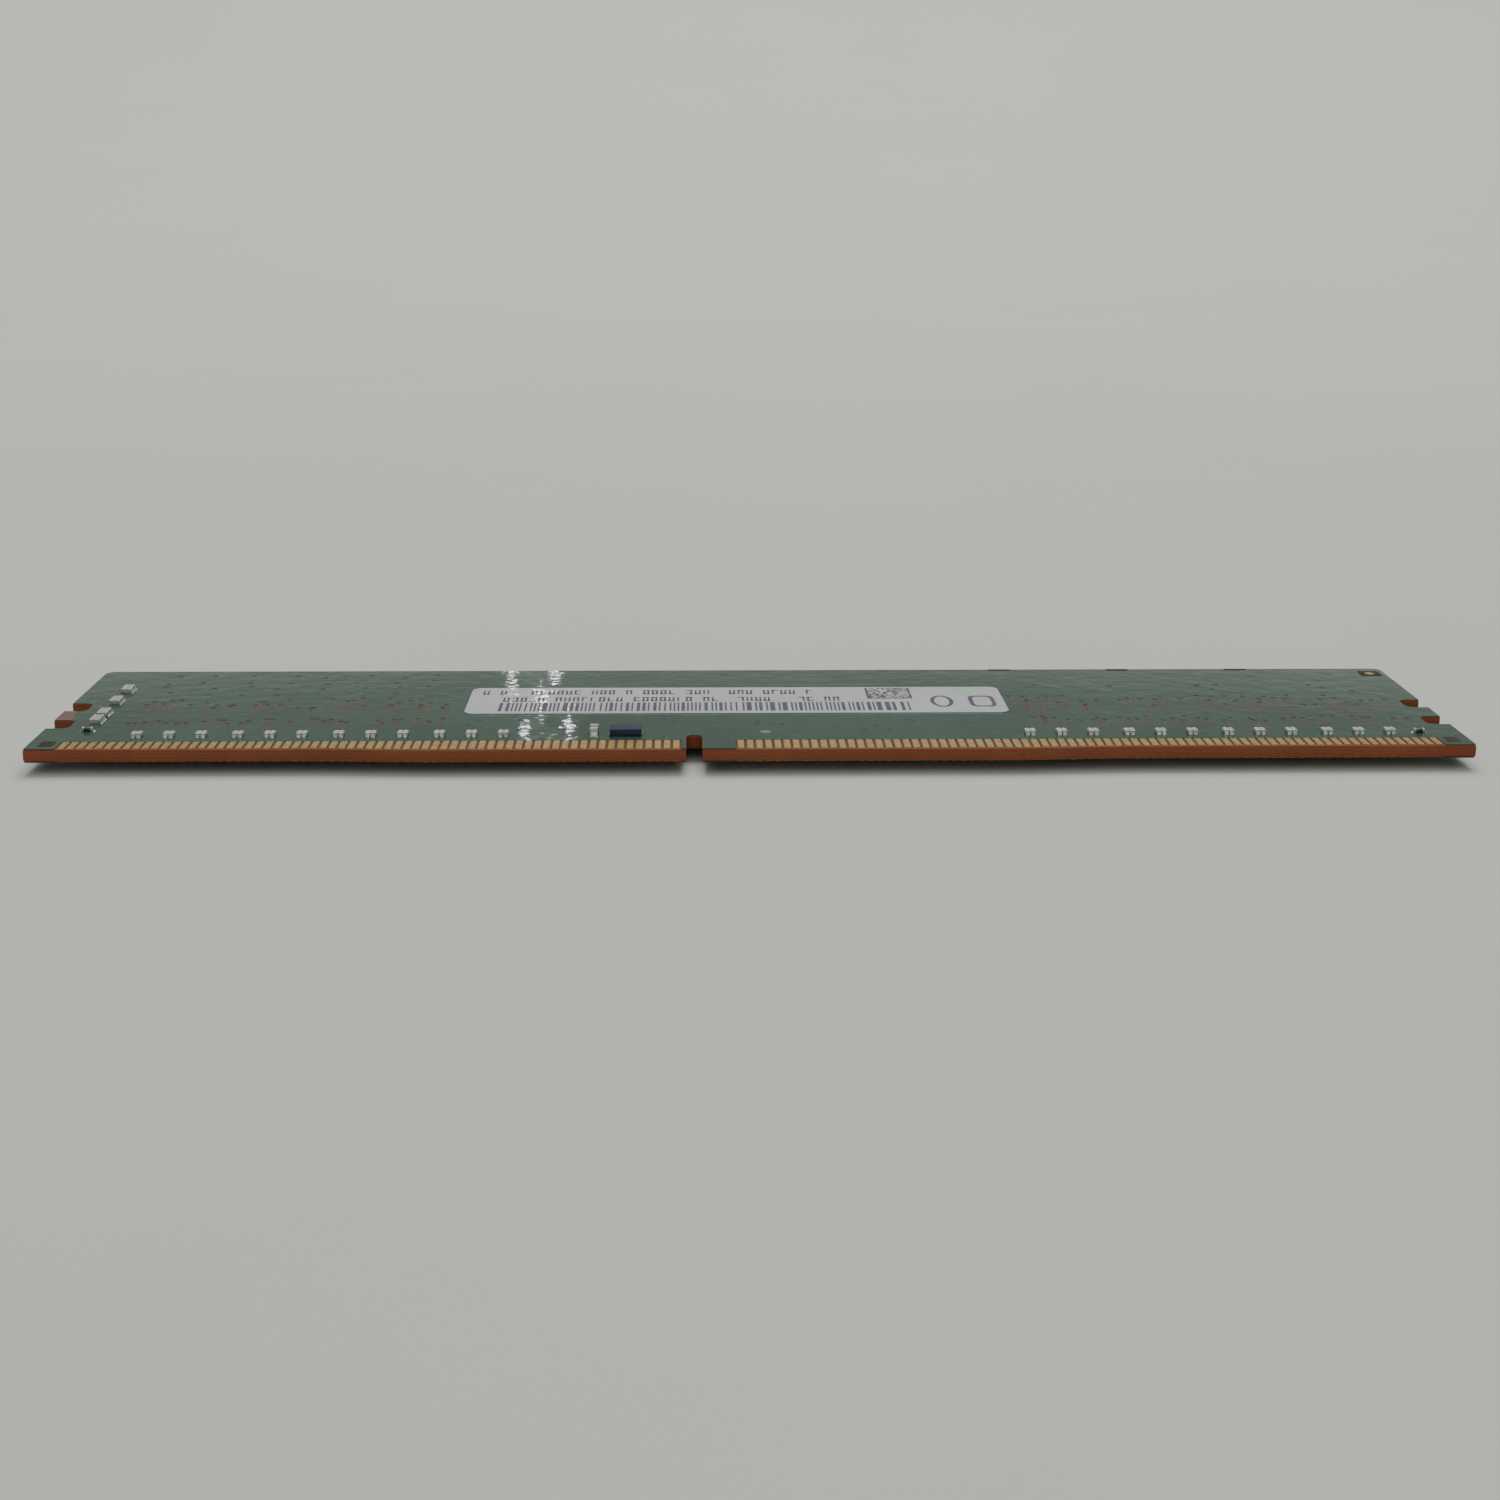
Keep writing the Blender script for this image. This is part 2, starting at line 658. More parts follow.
@dataclass(frozen=True)
class MetalFinish(Finish):
    """Plated metal: a bright and a dull tone, wiped lines and fine grain."""

    bright: tuple = rgba(0.50, 0.35, 0.10)
    dull: tuple = rgba(0.26, 0.165, 0.05)
    grain_scale: float = 1800.0
    wipe_scale: float = 9000.0

    def build(self) -> bpy.types.Material:
        """Return the material."""
        material, graph = self.graph()
        grain = Effect.use(graph, "grain", Scale=self.grain_scale, Contrast=1.6)
        wipes = Effect.use(graph, "wipes", Scale=self.wipe_scale).outputs["Mask"]
        tone = graph.weighted((grain.outputs["Coarse"], 0.7), (wipes, 0.3))
        colour = graph.mix(graph.ramp(tone, 0.25, 0.75), self.dull, self.bright)
        rough = graph.ramp(tone, 0.2, 0.8, self.roughness + 0.1, self.roughness - 0.05)
        normal = graph.bump(grain.outputs["Fine"], 0.25, 0.00002)
        normal = graph.bump(wipes, 0.12, 0.00001, normal)
        self.close(graph, colour, rough, normal)
        return material


@dataclass(frozen=True)
class PlainFinish(Finish):
    """Moulded, fired or coated surface: two near tones, grain and dust."""

    first: tuple = rgba(0.02, 0.02, 0.022)
    second: tuple = rgba(0.03, 0.03, 0.032)
    grain_scale: float = 2500.0
    relief: float = 0.3
    relief_height: float = 0.00002
    cloud_share: float = 0.12
    dust_scale: float = 420.0
    dust: float = 0.05

    def build(self) -> bpy.types.Material:
        """Return the material."""
        material, graph = self.graph()
        grain = Effect.use(graph, "grain", Scale=self.grain_scale, Contrast=1.5)
        cloud = graph.noise(self.grain_scale * self.cloud_share, 3.0)
        tone = graph.weighted((grain.outputs["Coarse"], 0.5), (cloud, 0.5))
        colour = graph.mix(graph.ramp(tone, 0.3, 0.7), self.first, self.second)
        specks = Effect.use(graph, "dust", Scale=self.dust_scale, Amount=self.dust).outputs["Mask"]
        colour = graph.veiled(colour, specks, 0.4, PART_DUST)
        rough = graph.ramp(tone, 0.2, 0.8, self.roughness * 0.85, self.roughness * 1.2)
        normal = graph.bump(grain.outputs["Fine"], self.relief, self.relief_height)
        self.close(graph, colour, rough, normal)
        return material


@dataclass(frozen=True)
class StageFinish(Finish):
    """Pale matte floor with faint cloudy variation, darker high up the sweep."""

    pale: tuple = rgba(0.49, 0.495, 0.455)
    shade: tuple = rgba(0.475, 0.48, 0.44)
    high: tuple = rgba(0.16, 0.16, 0.15)
    fade_from: float = 0.20
    fade_to: float = 0.37

    def build(self) -> bpy.types.Material:
        """Return the material."""
        material, graph = self.graph()
        cloud = graph.noise(9.0, 4.0)
        colour = graph.mix(graph.ramp(cloud, 0.3, 0.7), self.shade, self.pale)
        height = graph.node("ShaderNodeSeparateXYZ", {0: graph.place()}).outputs["Z"]
        colour = graph.mix(graph.ramp(height, self.fade_from, self.fade_to), colour, self.high)
        normal = graph.bump(graph.noise(2500.0, 2.0), 0.05, 0.00005)
        self.close(graph, colour, self.roughness, normal)
        return material


class Finishes:
    """Every material of the module, built once."""

    def __init__(self) -> None:
        """Build the shared effects, then the materials."""
        for effect in (Effect.grain, Effect.weave, Effect.dust, Effect.wipes):
            effect()
        self.mask = MaskFinish("solder_mask_green", 0.04, ior=1.42).build()
        self.trace = MaskFinish("solder_mask_on_copper", 0.08, ior=1.42, deep=rgba(0.051, 0.036, 0.018),
                                light=rgba(0.070, 0.050, 0.030)).build()
        self.via = MaskFinish("solder_mask_on_via", 0.45, ior=1.3, deep=rgba(0.008, 0.014, 0.010),
                              light=rgba(0.014, 0.022, 0.016)).build()
        self.pad = MaskFinish("solder_mask_on_pad", 0.25, deep=rgba(0.090, 0.125, 0.105),
                              light=rgba(0.115, 0.150, 0.130)).build()
        self.laminate = LaminateFinish("glass_epoxy_edge", 0.7, ior=1.35, face_shade=0.75).build()
        self.bare = LaminateFinish("glass_epoxy_face", 0.7, ior=1.2, dark=rgba(0.022, 0.020, 0.013),
                                   warm=rgba(0.040, 0.034, 0.022)).build()
        self.tab = LaminateFinish("glass_epoxy_tab", 0.7, ior=1.3, dark=rgba(0.070, 0.042, 0.027),
                                  warm=rgba(0.160, 0.105, 0.073)).build()
        self.gold = MetalFinish("contact_gold", 0.36, metallic=1.0).build()
        self.tin = MetalFinish("tinned_terminal", 0.42, metallic=0.8, bright=rgba(0.46, 0.47, 0.43),
                               dull=rgba(0.28, 0.29, 0.26)).build()
        self.ceramic = PlainFinish("array_ceramic", 0.45, first=rgba(0.22, 0.235, 0.215),
                                   second=rgba(0.31, 0.33, 0.30)).build()
        self.glaze = PlainFinish("resistor_glaze", 0.35, first=rgba(0.010, 0.010, 0.008),
                                 second=rgba(0.020, 0.019, 0.015)).build()
        self.capacitor = PlainFinish("capacitor_ceramic", 0.5, first=rgba(0.135, 0.105, 0.070),
                                     second=rgba(0.19, 0.15, 0.105)).build()
        self.mould = PlainFinish("chip_mould", 0.55, relief=0.6, dust=0.07).build()
        self.data_mould = PlainFinish("data_chip_mould", 0.6, ior=1.18, first=rgba(0.028, 0.034, 0.054),
                                      second=rgba(0.038, 0.046, 0.070)).build()
        self.substrate = PlainFinish("chip_substrate", 0.45, first=rgba(0.05, 0.08, 0.03),
                                     second=rgba(0.07, 0.10, 0.04)).build()
        self.paper = PlainFinish("label_paper", 0.03, ior=1.6, first=rgba(0.44, 0.47, 0.455),
                                 second=rgba(0.49, 0.52, 0.505), grain_scale=93.0, relief=1.0,
                                 dust=0.04).build()
        self.ink = PlainFinish("label_ink", 0.5, ior=1.3, first=rgba(0.035, 0.032, 0.052),
                               second=rgba(0.075, 0.070, 0.095), grain_scale=4000.0).build()
        self.green_ink = PlainFinish("label_green_ink", 0.5, first=rgba(0.16, 0.38, 0.20),
                                     second=rgba(0.22, 0.46, 0.26), grain_scale=4000.0).build()
        self.stage = StageFinish("pale_floor", 0.9).build()


# ---------------------------------------------------------------------------------------------
# Board
# ---------------------------------------------------------------------------------------------


@dataclass
class Board:
    """Bare board with its two solder masks: stepped contact edge, key slot and latch notches."""

    length: float = 133.35
    height: float = 31.25
    edge_step: float = 0.5
    left_slope: tuple[float, float] = (26.3, 36.5)
    right_slope: tuple[float, float] = (90.9, 101.1)
    key_centre: float = 61.1
    key_width: float = 1.5
    key_depth: float = 4.8
    notch_centres: tuple[float, float] = (9.5, 16.1)
    notch_height: float = 3.0
    notch_depth: float = 2.1
    notch_radius: float = 0.75
    corner_radius: float = 1.0
    rim: float = 0.04
    contact_bevel: float = 0.2
    contact_top: float = 3.0
    window_margin: float = 0.15
    arc_steps: int = 8
    mask_inset: float = 0.02
    tab_foot: tuple[tuple[float, float], ...] = ((0.03, 0.03), (1.5, 0.03), (1.7, 0.5))
    tab_head: tuple[tuple[float, float], ...] = ((1.35, -0.5), (1.15, -0.03), (0.03, -0.03))
    tab_thickness: float = 0.012
    spot_size: tuple[float, float] = (1.3, 1.9)
    spot_place: tuple[float, float] = (1.75, 2.3)
    fiducial_place: tuple[float, float] = (131.7, 28.9)
    fiducial_window: float = 2.2
    bare_thickness: float = 0.01
    joint_size: tuple[float, float] = (2.3, 0.6)
    joint_thickness: float = 0.02
    joint_places: tuple[float, ...] = (93.1, 105.5, 118.0)
    ring_place: tuple[float, float] = (126.3, 27.5)
    ring_half: tuple[float, float] = (1.25, 2.1)
    ring_line: float = 0.28
    ring_thickness: float = 0.006
    test_pad_place: tuple[float, float] = (67.8, 5.8)

    def edge_at(self, u: np.ndarray) -> np.ndarray:
        """Return the height of the contact edge: a rise towards each end, clipped to one step."""
        left = (self.left_slope[1] - u) / (self.left_slope[1] - self.left_slope[0])
        right = (u - self.right_slope[0]) / (self.right_slope[1] - self.right_slope[0])
        return self.edge_step * np.clip(np.maximum(left, right), 0, 1)

    def arc(self, centre: tuple[float, float], radius: float, start: float, end: float) -> np.ndarray:
        """Return points on an arc between two angles in degrees."""
        angles = np.radians(np.linspace(start, end, self.arc_steps + 1))
        return np.array(centre) + radius * np.stack([np.cos(angles), np.sin(angles)], -1)

    def key_slot(self) -> list[np.ndarray]:
        """Return the key slot as part of an outline that runs towards +u."""
        r = self.key_width / 2
        low_left = np.array([[self.key_centre - r, 0.0]])
        low_right = np.array([[self.key_centre + r, 0.0]])
        return [low_left, self.arc((self.key_centre, self.key_depth - r), r, 180, 0), low_right]

    def right_end(self) -> list[np.ndarray]:
        """Return the right end going up: two notches, then the rounded top corner."""
        wall, r = self.length - self.notch_depth, self.notch_radius
        parts = []
        for centre in self.notch_centres:
            low, high = centre - self.notch_height / 2, centre + self.notch_height / 2
            parts += [np.array([[self.length, low]]), self.arc((wall + r, low + r), r, -90, -180),
                      self.arc((wall + r, high - r), r, 180, 90), np.array([[self.length, high]])]
        c = self.corner_radius
        return parts + [self.arc((self.length - c, self.height - c), c, 0, 90)]

    def left_end(self) -> list[np.ndarray]:
        """Return the left end going down: the mirror image of the right end."""
        mirrored = [np.column_stack([self.length - part[::-1, 0], part[::-1, 1]])
                    for part in self.right_end()]
        return mirrored[::-1]

    def outline(self) -> np.ndarray:
        """Return the whole board's outline, anticlockwise."""
        start = np.array([[0, self.edge_step], [self.left_slope[0], self.edge_step], [self.left_slope[1], 0]])
        slope = np.array([[self.right_slope[0], 0], [self.right_slope[1], self.edge_step],
                          [self.length, self.edge_step]])
        return np.concatenate([start, *self.key_slot(), slope, *self.right_end(), *self.left_end()])

    def mask_outline(self, banks: list[tuple[float, float]]) -> np.ndarray:
        """Return the mask's outline: the board's, stepped back round both banks of contacts.

        Args:
            banks: First and last u of each bank.

        Returns:
            The outline, anticlockwise.
        """
        (a, b), (c, d) = [(low - self.window_margin, high + self.window_margin) for low, high in banks]
        top, step = self.contact_top, self.edge_step
        left = np.array([[0, step], [a, step], [a, top], [b, top], [b, 0]])
        right = np.array([[c, 0], [c, top], [d, top], [d, step], [self.length, step]])
        return np.concatenate([left, *self.key_slot(), right, *self.right_end(), *self.left_end()])

    def build(self, finishes: Finishes, banks: list[tuple[float, float]]) -> None:
        """Make the laminate and both masks."""
        outline = self.outline()
        on_contact_edge = outline[:, 1] < self.edge_step + 0.01
        bevel = np.where(on_contact_edge, self.contact_bevel, self.rim)
        body = slab(outline, LAMINATE_LOW, LAMINATE_HIGH, bevel)
        write_piece("board_laminate", body, [finishes.laminate], ("laminate_board",))
        skin_outline = inset(self.mask_outline(banks), self.mask_inset)
        skin = slab(skin_outline, LAMINATE_HIGH, LABEL_FACE, self.mask_inset, 1)
        for side in Side:
            write_piece(f"mask_{side.value}", on_side(skin, side), [finishes.mask],
                        (f"solder_mask_{side.value}",))
        self.bare_spots(finishes)

    def bare_spots(self, finishes: Finishes) -> None:
        """Make the places without mask: the left tab, two spots beside the contacts, the fiducial.

        The tab's foot and head are corners measured from the notch below it and the notch above.
        """
        tab_low = self.notch_centres[0] + self.notch_height / 2
        tab_high = self.notch_centres[1] - self.notch_height / 2
        foot = np.array(self.tab_foot) + [0, tab_low]
        head = np.array(self.tab_head) + [0, tab_high]
        corners = np.concatenate([foot, head])
        tab = slab(corners, LABEL_FACE, LABEL_FACE + self.tab_thickness, self.tab_thickness / 2, 1)
        write_piece("bare_tab_left", tab, [finishes.tab])
        thickness, rim = self.bare_thickness, self.bare_thickness / 2
        spot = block(*self.spot_size, thickness, 0.15, rim)
        u, v = self.spot_place
        spots = spot.repeated(on_label_face(np.array([[u, v], [self.length - u, v]])))
        write_piece("bare_spots_beside_contacts", spots, [finishes.bare])
        square = block(self.fiducial_window, self.fiducial_window, thickness, 0.2, rim)
        square = square.moved(*self.fiducial_place, LABEL_FACE)
        dot = turned_solid([(0.5, 0.0), (0.5, 0.02), (0.44, 0.03)], 24)
        dot = dot.moved(*self.fiducial_place, LABEL_FACE + 0.004)
        write_piece("fiducial", joined([square, dot.dressed(1)]), [finishes.bare, finishes.gold])
        self.edge_marks(finishes)

    def edge_marks(self, finishes: Finishes) -> None:
        """Make the rough places of the panel joints, a ring mark and a lone test pad."""
        joint = block(*self.joint_size, self.joint_thickness, 0.1, self.joint_thickness / 2)
        places = np.array([[u, self.height - self.joint_size[1] / 2] for u in self.joint_places])
        write_piece("panel_joint_marks", joint.repeated(on_label_face(places)), [finishes.bare])
        ring = band(48, self.ring_half, self.ring_line, ELLIPSE, LABEL_FACE, self.ring_thickness)
        ring = ring.moved(*self.ring_place)
        write_piece("ring_mark", ring, [finishes.trace])
        pad = turned_solid([(0.55, -0.01), (0.55, 0.012), (0.48, 0.022)], 24)
        pad = pad.moved(*self.test_pad_place, LABEL_FACE)
        write_piece("test_pad", pad, [finishes.pad])


# ---------------------------------------------------------------------------------------------
# Contacts
# ---------------------------------------------------------------------------------------------


@dataclass
class Contacts:
    """Gold fingers along the contact edge: two banks on each face, at one pitch."""

    board: Board
    pitch: float = 0.85
    width: float = 0.6
    edge_gap: float = 0.2
    rim: float = 0.025
    banks: dict[str, tuple[float, int]] = field(
        default_factory=lambda: {"left": (3.35, 67), "right": (65.4, 77)})

    def spans(self) -> list[tuple[float, float]]:
        """Return the first and last u of each bank."""
        return [(first - self.width / 2, first + (count - 1) * self.pitch + self.width / 2)
                for first, count in self.banks.values()]

    def bank(self, first: float, count: int) -> Surface:
        """Return one bank: each finger is a thin slab that starts just above the contact edge."""
        u = first + np.arange(count) * self.pitch
        low = self.board.edge_at(u) + self.edge_gap
        high = np.full(count, self.board.contact_top)
        rings = []
        for z, back in ((LAMINATE_HIGH, 0.0), (LABEL_FACE - self.rim, 0.0), (LABEL_FACE, self.rim)):
            left, right = u - self.width / 2 + back, u + self.width / 2 - back
            ring = [(left, low + back), (right, low + back), (right, high - back), (left, high - back)]
            rings.append(np.stack([np.stack([x, y, np.full(count, z)], -1) for x, y in ring], 1))
        return lofts(np.stack(rings, 1))

    def build(self, finishes: Finishes) -> None:
        """Make the four banks."""
        for side in Side:
            for name, (first, count) in self.banks.items():
                fingers = on_side(self.bank(first, count), side)
                write_piece(f"gold_fingers_{side.value}_{name}", fingers, [finishes.gold],
                            (f"contacts_{side.value}_{name}",))


# ---------------------------------------------------------------------------------------------
# Traces and vias under the mask
# ---------------------------------------------------------------------------------------------


@dataclass
class Copper:
    """Low ridges and dots that the copper raises under the mask.

    Ranges are the spans of u that traces start from. Lanes are the spans of v of a trace's lower
    and upper end. A loose group of vias has a span of u, a span of v and a count.
    """

    relief: float = 0.003
    root: float = 0.005
    crisp_deg: float = 1.0
    trace_width: float = 0.36
    jog: float = 0.25
    via_radius: float = 0.33
    seed: int = 11
    label_pitch: float = 0.8
    label_ranges: tuple[tuple[float, float], ...] = ((7.4, 37.5), (92.8, 130.0))
    short_share: float = 0.7
    long_share: float = 0.8
    short_lanes: tuple[tuple[float, float], ...] = ((6.8, 8.2), (9.6, 11.6))
    long_lanes: tuple[tuple[float, float], ...] = ((12.0, 13.6), (15.5, 19.8))
    column_u: float = 3.3
    column_stops: tuple[float, ...] = (9.4, 14.5, 19.5, 24.6)
    grid_u: tuple[float, float, float] = (8.0, 37.0, 3.8)
    grid_v: tuple[float, float, float] = (21.5, 30.0, 2.4)
    grid_scatter: float = 0.9
    loose_vias: tuple[tuple, ...] = (((38, 92), (6.5, 11.5), 26), ((94, 128), (21, 26), 9))
    chip_pitch: float = 0.85
    chip_ranges: tuple[tuple[float, float], ...] = ((5.0, 58.5), (67.0, 129.0))
    chip_lanes: tuple[tuple[float, float], ...] = ((4.2, 4.8), (7.5, 9.6))
    chip_vias: int = 12
    chip_via_pitch: float = 0.9
    chip_via_start: float = -5.0
    chip_via_reach: float = 4.9

    def via(self) -> Surface:
        """Return one tented via: a low ring with a dimple."""
        r, h = self.via_radius, self.relief
        return turned_solid([(r, -0.01), (r, 0.0), (r * 0.8, h), (r * 0.45, h), (r * 0.3, h * 0.4)], 12)

    def lanes(self, rng: np.random.Generator, starts: np.ndarray, low: tuple[float, float],
              high: tuple[float, float]) -> tuple[np.ndarray, np.ndarray]:
        """Lay one jogged trace from each start.

        A trace goes up from its start, jogs sideways at 45 degrees and goes up to its end.

        Args:
            rng: Seeded random numbers.
            starts: u of each start.
            low: Range of v of the lower ends.
            high: Range of v of the upper ends.

        Returns:
            The paths, and the places of their upper ends.
        """
        count = len(starts)
        bottom = rng.uniform(*low, count)
        top = rng.uniform(*high, count)
        jog = rng.choice([-self.jog, 0.0, self.jog], count)
        bend = bottom + (top - bottom) * rng.uniform(0.25, 0.7, count)
        far = starts + jog
        paths = np.stack([np.stack([starts, bottom], -1), np.stack([starts, bend], -1),
                          np.stack([far, bend + self.jog], -1), np.stack([far, top], -1)], 1)
        return paths, paths[:, -1]

    def label_side(self, finishes: Finishes) -> None:
        """Make the data traces on both sides of the label and the scattered vias."""
        rng = np.random.default_rng(self.seed)
        starts = np.concatenate([np.arange(*span, self.label_pitch) for span in self.label_ranges])
        lower = starts[rng.random(len(starts)) < self.short_share]
        upper = starts[rng.random(len(starts)) < self.long_share]
        short_paths, short_ends = self.lanes(rng, lower, *self.short_lanes)
        long_paths, ends = self.lanes(rng, upper, *self.long_lanes)
        column = np.array([[[self.column_u, v] for v in self.column_stops]])
        paths = np.concatenate([long_paths, short_paths, column])
        traces = ridges(paths, self.trace_width, LABEL_FACE - self.root, self.relief + self.root)
        write_piece("mask_over_traces_label_side", traces, [finishes.trace],
                    smooth_deg=self.crisp_deg)
        u, v = np.meshgrid(np.arange(*self.grid_u), np.arange(*self.grid_v))
        shifts = rng.uniform(-self.grid_scatter, self.grid_scatter, (u.size, 2))
        scattered = np.column_stack([u.ravel(), v.ravel()]) + shifts
        loose = [np.column_stack([rng.uniform(*across, count), rng.uniform(*up, count)])
                 for across, up, count in self.loose_vias]
        places = on_label_face(np.concatenate([ends, short_ends, scattered, *loose]))
        write_piece("mask_over_vias_label_side", self.via().repeated(places), [finishes.via])

    def chip_side(self, finishes: Finishes, chips: list[np.ndarray]) -> None:
        """Make the traces between contacts and chips, and vias round each chip."""
        rng = np.random.default_rng(self.seed + 1)
        starts = np.concatenate([np.arange(*span, self.chip_pitch) for span in self.chip_ranges])
        paths, ends = self.lanes(rng, starts, *self.chip_lanes)
        traces = ridges(paths, self.trace_width, LABEL_FACE - self.root, self.relief + self.root)
        write_piece("mask_over_traces_chip_side", on_side(traces, Side.CHIP), [finishes.trace],
                    smooth_deg=self.crisp_deg)
        rise = np.arange(self.chip_vias) * self.chip_via_pitch + self.chip_via_start
        columns = [np.column_stack([np.full(self.chip_vias, chip[0] + side * self.chip_via_reach),
                                    chip[1] + rise]) for chip in chips for side in (-1, 1)]
        places = on_label_face(np.concatenate([ends, *columns]))
        vias = on_side(self.via().repeated(places), Side.CHIP)
        write_piece("mask_over_vias_chip_side", vias, [finishes.via])


# ---------------------------------------------------------------------------------------------
# Small parts
# ---------------------------------------------------------------------------------------------


def solder_fillet(width: float, reach: float, rise: float) -> Surface:
    """Return a concave solder wedge against the plane v = 0, spreading towards -v.

    Its section falls from the rise to the reach along a hollow curve, (1 - t) squared in height.

    Args:
        width: Width along u.
        reach: How far it spreads along the board.
        rise: How far it climbs the terminal.

    Returns:
        The closed wedge.
    """
    t = np.linspace(0, 1, 5)
    curve = np.column_stack([-reach * t, rise * (1 - t) ** 2])
    section = np.concatenate([[[0.0, 0.0]], curve])
    stations = np.array([-0.5, -0.42, 0.42, 0.5]) * width
    shrink = np.array([0.7, 1.0, 1.0, 0.7])
    rings = [np.column_stack([np.full(len(section), x), section * s]) for x, s in zip(stations, shrink)]
    return lofts(np.array(rings)[None])


@dataclass
class ResistorArray:
    """Resistors side by side in one block, with a terminal at each end of each."""

    elements: int
    pitch: float = 0.5
    depth: float = 1.0
    height: float = 0.4
    terminal_width: float = 0.32
    terminal_proud: float = 0.02
    terminal_rise: float = 0.03
    fillet_reach: float = 0.2
    fillet_share: float = 0.6
    wrap: float = 0.27

    def surface(self) -> Surface:
        """Return the block about the origin, its terminals facing -v and +v."""
        length = self.elements * self.pitch
        body_depth = self.depth - 2 * self.terminal_proud
        body = block(length, body_depth, self.height - self.terminal_rise, 0.04, 0.03)
        offsets = (np.arange(self.elements) - (self.elements - 1) / 2) * self.pitch
        cap = block(self.terminal_width, self.wrap, self.height, 0.05, 0.035)
        near = cap.moved(v=-(self.depth - self.wrap) / 2)
        rise = self.height * self.fillet_share
        fillet = solder_fillet(self.terminal_width + 0.06, self.fillet_reach, rise)
        fillet = fillet.moved(v=-self.depth / 2 + 0.01)
        row = np.column_stack([offsets, np.zeros(self.elements), np.zeros(self.elements)])
        terminals = joined([near, fillet]).repeated(row)
        glass = block(length - 0.12, self.depth - 2 * self.wrap - 0.04, 0.02, 0.03, 0.01)
        glass = glass.moved(z=self.height - 0.035)
        return joined([body, glass, terminals.dressed(1), terminals.turned(2).dressed(1)])


@dataclass
class ChipPart:
    """Two-terminal chip part lying along u: a body between two tinned end caps."""

    length: float
    width: float
    height: float
    cap: float
    fillet_reach: float = 0.25
    fillet_share: float = 0.55

    def surface(self) -> Surface:
        """Return the part about the origin."""
        body = block(self.length - 0.06, self.width - 0.05, self.height - 0.04, 0.03, 0.03)
        end = block(self.cap, self.width, self.height, 0.06, 0.045).moved(u=-(self.length - self.cap) / 2)
        rise = self.height * self.fillet_share
        fillet = solder_fillet(self.width * 0.95, self.fillet_reach, rise).turned(-1)
        fillet = fillet.moved(u=-self.length / 2 + 0.01)
        left = joined([end, fillet]).dressed(1)
        return joined([body, left, left.turned(2)])


@dataclass
class FlatChip:
    """Small moulded chip with a row of pads along each short side and a round mark."""

    length: float
    width: float
    height: float
    corner: float = 0.06
    stand_off: float = 0.04
    mark_inset: float = 0.4
    pad_proud: float = 0.01
    pad_places: tuple[float, ...] = (-0.75, -0.25, 0.25, 0.75)

    def surface(self) -> Surface:
        """Return the chip about the origin."""
        outline = rounded_rectangle(self.length, self.width, self.corner)
        body = slab(outline, self.stand_off, self.height, 0.04)
        mark = turned_solid([(0.16, -0.02), (0.16, 0.008), (0.1, 0.004)], 16)
        mark = mark.moved(-self.length / 2 + self.mark_inset, -self.width / 2 + self.mark_inset, self.height)
        pad = block(0.08, 0.28, 0.2, 0.02, 0.015)
        places = np.array([[side * (self.length / 2 + self.pad_proud), offset, 0.0]
                           for side in (-1, 1) for offset in self.pad_places])
        return joined([body, mark, pad.repeated(places).dressed(1)])


@dataclass
class SmallParts:
    """Everything small that is soldered to the board."""

    finishes: Finishes
    capacitor_cap: float = 0.35

    def fasten(self, name: str, node: str, surface: Surface, body: bpy.types.Material,
               side: Side = Side.LABEL) -> None:
        """Put a part in the place of its node, its terminals tinned.

        Args:
            name: Name of the piece.
            node: Node that the piece stands for.
            surface: The part about the origin, as if for the label side.
            body: Material of its body.
            side: Side of the board that it goes on.
        """
        place = node_centre(node)
        there = on_side(surface.moved(place[0], place[1], LABEL_FACE), side)
        write_piece(name, there, [body, self.finishes.tin], (node,))

    def arrays(self) -> None:
        """Make the row of lane arrays above the contacts."""
        pair = ResistorArray(2).surface()
        for side in ("left", "right"):
            for number in range(1, PAIRS_EACH_SIDE + 1):
                self.fasten(f"resistor_pair_{side}_{number:02d}", f"lane_array_{side}_{number:02d}", pair,
                            self.finishes.ceramic)

    def end_column(self) -> None:
        """Make the arrays and resistors at the ends of the board."""
        quad = ResistorArray(4, height=0.45).surface().turned(1)
        for number in range(1, END_QUADS + 1):
            self.fasten(f"resistor_quad_{number}", f"end_array_{number}", quad, self.finishes.ceramic)
        single = ChipPart(1.0, 0.5, 0.4, 0.22).surface()
        for side in ("left", "right"):
            self.fasten(f"single_resistor_{side}", f"end_resistor_{side}", single, self.finishes.glaze)

    def data_chip(self) -> None:
        """Make the settings chip, and the capacitor beside it."""
        chip = FlatChip(*node_size("data_chip")).surface()
        self.fasten("settings_chip", "data_chip", chip, self.finishes.data_mould)
        node = "data_chip_capacitor"
        across, along, height = node_size(node)
        capacitor = ChipPart(along, across, height, self.capacitor_cap).surface().turned(1)
        self.fasten("settings_chip_capacitor", node, capacitor, self.finishes.capacitor)

    def bulk_capacitors(self) -> None:
        """Make the larger capacitors on the chip side."""
        for number in range(1, SUPPLY_CAPACITORS + 1):
            node = f"bulk_capacitor_{number}"
            capacitor = ChipPart(*node_size(node), self.capacitor_cap).surface()
            self.fasten(f"supply_capacitor_{number}", node, capacitor, self.finishes.capacitor,
                        Side.CHIP)


